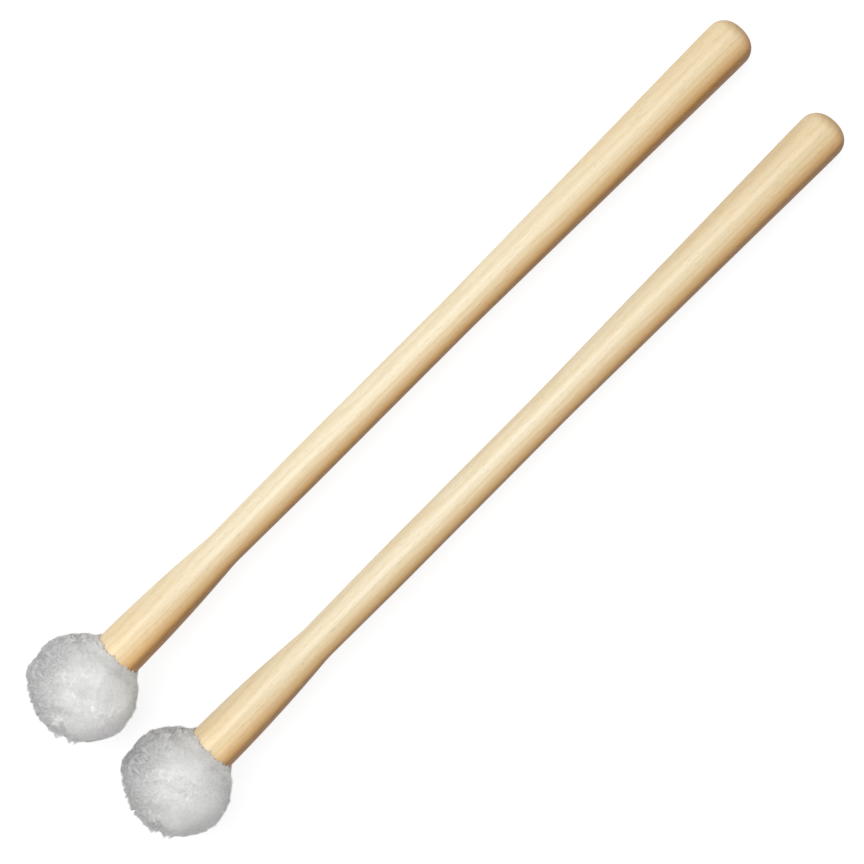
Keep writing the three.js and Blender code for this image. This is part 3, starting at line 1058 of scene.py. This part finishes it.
def spike(rings, tip):
    """Points and faces of a closed spike: rings given by their middle and width, and its tip."""
    along = (tip - rings[0][0]).normalized()
    across = along.orthogonal().normalized()
    upwards = along.cross(across)
    points = []
    for middle, width in rings:
        for i in range(FIBRE_SIDES):
            angle = 2 * math.pi * i / FIBRE_SIDES
            points.append(middle + (across * math.cos(angle) + upwards * math.sin(angle)) * width / 2)
    sides = range(FIBRE_SIDES)
    faces = [tuple(reversed(sides))]
    for start in range(0, (len(rings) - 1) * FIBRE_SIDES, FIBRE_SIDES):
        for i in sides:
            a, b = start + i, start + (i + 1) % FIBRE_SIDES
            faces.append((a, b, b + FIBRE_SIDES, a + FIBRE_SIDES))
    last = (len(rings) - 1) * FIBRE_SIDES
    faces += [(last + i, last + (i + 1) % FIBRE_SIDES, len(points)) for i in sides]
    return points + [tip], faces


# %% Many fibres in one mesh
REST_GAP = 1.2
ROOT_DEPTH = 0.25


def off_table(root):
    """Whether a root is clear of the flat on which the head rests."""
    return (to_scene @ root).z > REST_GAP * MM


class Pile:
    """Collects many spikes in one mesh."""

    def __init__(self):
        self.points, self.faces = [], []

    def add(self, rings, tip):
        points, faces = spike(rings, tip)
        start = len(self.points)
        self.faces += [tuple(start + i for i in face) for face in faces]
        self.points += [tuple(rested(clear_of_neck(p))) for p in points]

    def roots(self, count, chance):
        """Points on the bare fleece to grow from, each with its outward direction."""
        for normal in spread_directions(count, chance):
            root = on_fleece(normal)
            if root.x < skin_end and off_table(root):
                yield root, normal


# %% The down
DOWN_COUNT, DOWN_LENGTH, DOWN_WIDTH = 23000, (1.1, 1.9), 0.26
DOWN_JITTER, DOWN_RISE, DOWN_CLING = 0.5, (0.2, 0.55), 0.5


def grow_down(pile):
    """Short straight fibres, evenly spread, that cover the knit under the locks."""
    chance = random.Random(12)
    for root, normal in pile.roots(DOWN_COUNT, chance):
        along = stroked(root, normal, chance, DOWN_JITTER)
        length = chance.uniform(*DOWN_LENGTH)
        rise = chance.uniform(*DOWN_RISE) - drop(length)
        own_tip = root + along * length + normal * rise
        tip = own_tip.lerp(nearest_tip(root), DOWN_CLING * raggedness_at(normal))
        pile.add([(root - normal * ROOT_DEPTH, DOWN_WIDTH)], tip)


# %% The locks' fibres
FIBRE_COUNT, FIBRE_LENGTH, FIBRE_WIDTH = 9500, (1.4, 2.4), 0.16
FIBRE_JITTER, FIBRE_CLING, FIBRE_BEND = 0.3, (0.45, 0.85), (0.2, 0.45)
FIBRE_RISE, FIBRE_ROUGH_RISE = 0.2, (0.1, 0.5)
ROOT_WIDTH = 0.8 * FIBRE_WIDTH


def grow_locks(pile):
    """Bent fibres, each drawn towards the tip of the lock nearest to it, most where the pile is rough."""
    chance = random.Random(8)
    for root, normal in pile.roots(FIBRE_COUNT, chance):
        rough = roughness_at(normal)
        along = stroked(root, normal, chance, FIBRE_JITTER)
        length = chance.uniform(*FIBRE_LENGTH)
        rise = FIBRE_RISE + chance.uniform(*FIBRE_ROUGH_RISE) * rough - drop(length)
        own_tip = root + along * length + normal * rise
        cling = chance.uniform(*FIBRE_CLING) * max(rough, raggedness_at(normal))
        tip = own_tip.lerp(nearest_tip(root), cling)
        middle = root.lerp(tip, 0.5) + normal * chance.uniform(*FIBRE_BEND)
        pile.add([(root - normal * ROOT_DEPTH, ROOT_WIDTH), (middle, FIBRE_WIDTH)], tip)


# %% [markdown]
# Behind the head the fleece ends in a thin fringe that leans over the wood. A clean cut edge would look
# stiff: the fibres draw together in small teeth, each of its own length, with their tips just off the wood.

# %% Fibres over the neck
FRINGE_COUNT, FRINGE_DEPTH, FRINGE_CURVE = 1500, 2.6, 1.5
FRINGE_LIFT, FRINGE_BEND = (0.1, 0.3), (0.1, 0.3)
LIFT_PER_BACK, SHORTER_PER_BACK = 0.35, 0.75
TOOTH_COUNT, TOOTH_REACH, TOOTH_POINT = 30, (-0.3, 1.2), 1.6
TOOTH_GATHER, TOOTH_UNEVEN = (0.4, 0.9), (0, 0.6)


def around_neck(place, radius, turn):
    """The point at that place, that far from the axis and that many turns round it."""
    angle = 2 * math.pi * turn
    return Vector((place, radius * math.cos(angle), radius * math.sin(angle)))


def grow_fringe(pile):
    """Fibres that lean from the cover's edge over the handle's neck, drawn together in small teeth."""
    chance = random.Random(3)
    teeth = [chance.uniform(*TOOTH_REACH) for _ in range(TOOTH_COUNT)]
    for i in range(FRINGE_COUNT):
        turn = (i + chance.random()) / FRINGE_COUNT * TOOTH_COUNT
        tooth = math.floor(turn)
        off_middle = turn - tooth - 0.5
        tip_turn = tooth + 0.5 + off_middle * chance.uniform(*TOOTH_GATHER)
        reach = teeth[tooth] + TOOTH_POINT * (0.5 - abs(off_middle)) - chance.uniform(*TOOTH_UNEVEN)
        start = neck_bore + FRINGE_DEPTH * chance.random() ** FRINGE_CURVE
        root = around_neck(place_on(skin, start), start, turn / TOOTH_COUNT)
        outwards = root.normalized()
        back = start - neck_bore
        radius = FLARE_RADIUS + (chance.uniform(*FRINGE_LIFT) + LIFT_PER_BACK * back)
        place = cover_mouth + reach - SHORTER_PER_BACK * back
        tip = around_neck(place, radius, tip_turn / TOOTH_COUNT)
        middle = root.lerp(tip, 0.5) + outwards * chance.uniform(*FRINGE_BEND)
        if off_table(root):
            pile.add([(root - outwards * ROOT_DEPTH, FIBRE_WIDTH), (middle, FIBRE_WIDTH)], tip)


# %% Grow the pile
pile = Pile()
grow_down(pile)
grow_locks(pile)
grow_fringe(pile)
print("pile:", sum(len(face) - 2 for face in pile.faces), "triangles")

# %% [markdown]
# ## Fleece material
# Fleece has no gloss. Its whiteness comes from light that passes from fibre to fibre, and it is darker
# where the pile opens onto the knit, so the knit is given a greyer white than the fibres, which is painted
# shade for the gaps in the pile. Subsurface scattering could soften it further, but the grown pile does
# that already, and without it the picture has less noise. The side that the lamps reach best is painted a
# little greyer, as in the photograph, which is painted shade. Noise varies the white.

# %% Fleece finish
# Painted shade: the knit's greyer white darkens the gaps in the pile, and the greys darken the side below
PILE_WHITE, PILE_GREY_AND_SHADE = (0.90, 0.90, 0.89, 1), (0.68, 0.68, 0.68, 1)
KNIT_SHADED_WHITE, KNIT_GREY_AND_SHADE = (0.75, 0.75, 0.74, 1), (0.49, 0.49, 0.49, 1)
PAINTED_SHADE_SIDE = Vector((-0.25, 0.97, 0.0))


def fleece_finish(name, pale, grey, bump_depth):
    """Matt white wool, greyer between its curls and in broad patches, with painted shade towards one side.
    """
    n = Nodes(name)
    curls = n.noise(n.place(), scale=1.6, detail=5.0, roughness=0.65)
    patches = n.noise(n.place(), scale=0.13, detail=2.0)
    outwards = n.add("VectorMath", {"Vector": n.place()}, operation="NORMALIZE").outputs["Vector"]
    facing = n.add("VectorMath", {0: outwards, 1: PAINTED_SHADE_SIDE}, operation="DOT_PRODUCT")
    # Painted shade: greyer towards the side that the key lamp reaches best
    tone = n.mixed(n.stretch(facing.outputs["Value"], low=0.15, high=0.9), pale, grey)
    tone = n.mixed(n.stretch(curls, low=0.35, high=0.75, new_high=0.2), tone, grey)
    tone = n.mixed(n.stretch(patches, low=0.4, high=0.7, new_high=0.15), tone, grey)
    n.relief(curls, strength=0.5, depth=bump_depth)
    return n.finish({"Base Color": tone, "Roughness": 1.0, "Specular IOR Level": 0.1})


fleece = fleece_finish("fleece_knit", KNIT_SHADED_WHITE, KNIT_GREY_AND_SHADE, bump_depth=0.35)
pile_finish = fleece_finish("fleece_pile", PILE_WHITE, PILE_GREY_AND_SHADE, bump_depth=0.05)

# %% Put the fleece on both heads
for hand in HANDS:
    cover = piece("fleece_ball", hand, fluffy, cover_faces, fleece)
    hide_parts(f"{hand}_fleece_cover")
    fluff = piece("fleece_pile", hand, pile.points, pile.faces, pile_finish)
